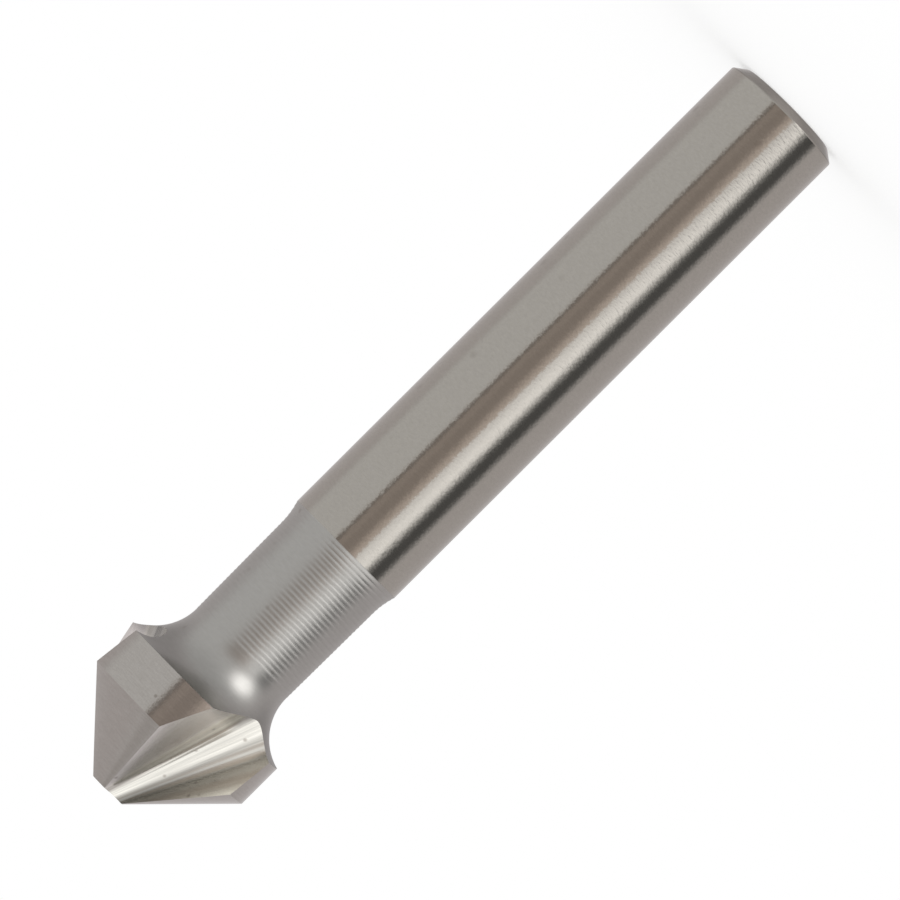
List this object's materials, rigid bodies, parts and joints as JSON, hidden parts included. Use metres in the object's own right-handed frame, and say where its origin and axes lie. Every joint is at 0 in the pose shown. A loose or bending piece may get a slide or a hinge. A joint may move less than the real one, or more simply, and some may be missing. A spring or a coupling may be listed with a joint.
{
  "type": "countersink bit",
  "caption": "Right-hand countersink bit for metal: a cutting cone with ground flutes, a turned neck and a plain round shank.",
  "frame": {"origin": "centre of the flat end face of the shank", "axes": "+Z along the tool's axis from the shank to the cutting tip, +X through the cutting corner of one land"},
  "size_m": [0.0125, 0.0121, 0.056],
  "materials": {
    "tool_steel": "ground bright, with fine turning rings on the neck"
  },
  "bodies": {
    "root": {"countersink_bit": "tool_steel"}
  },
  "joints": []
}
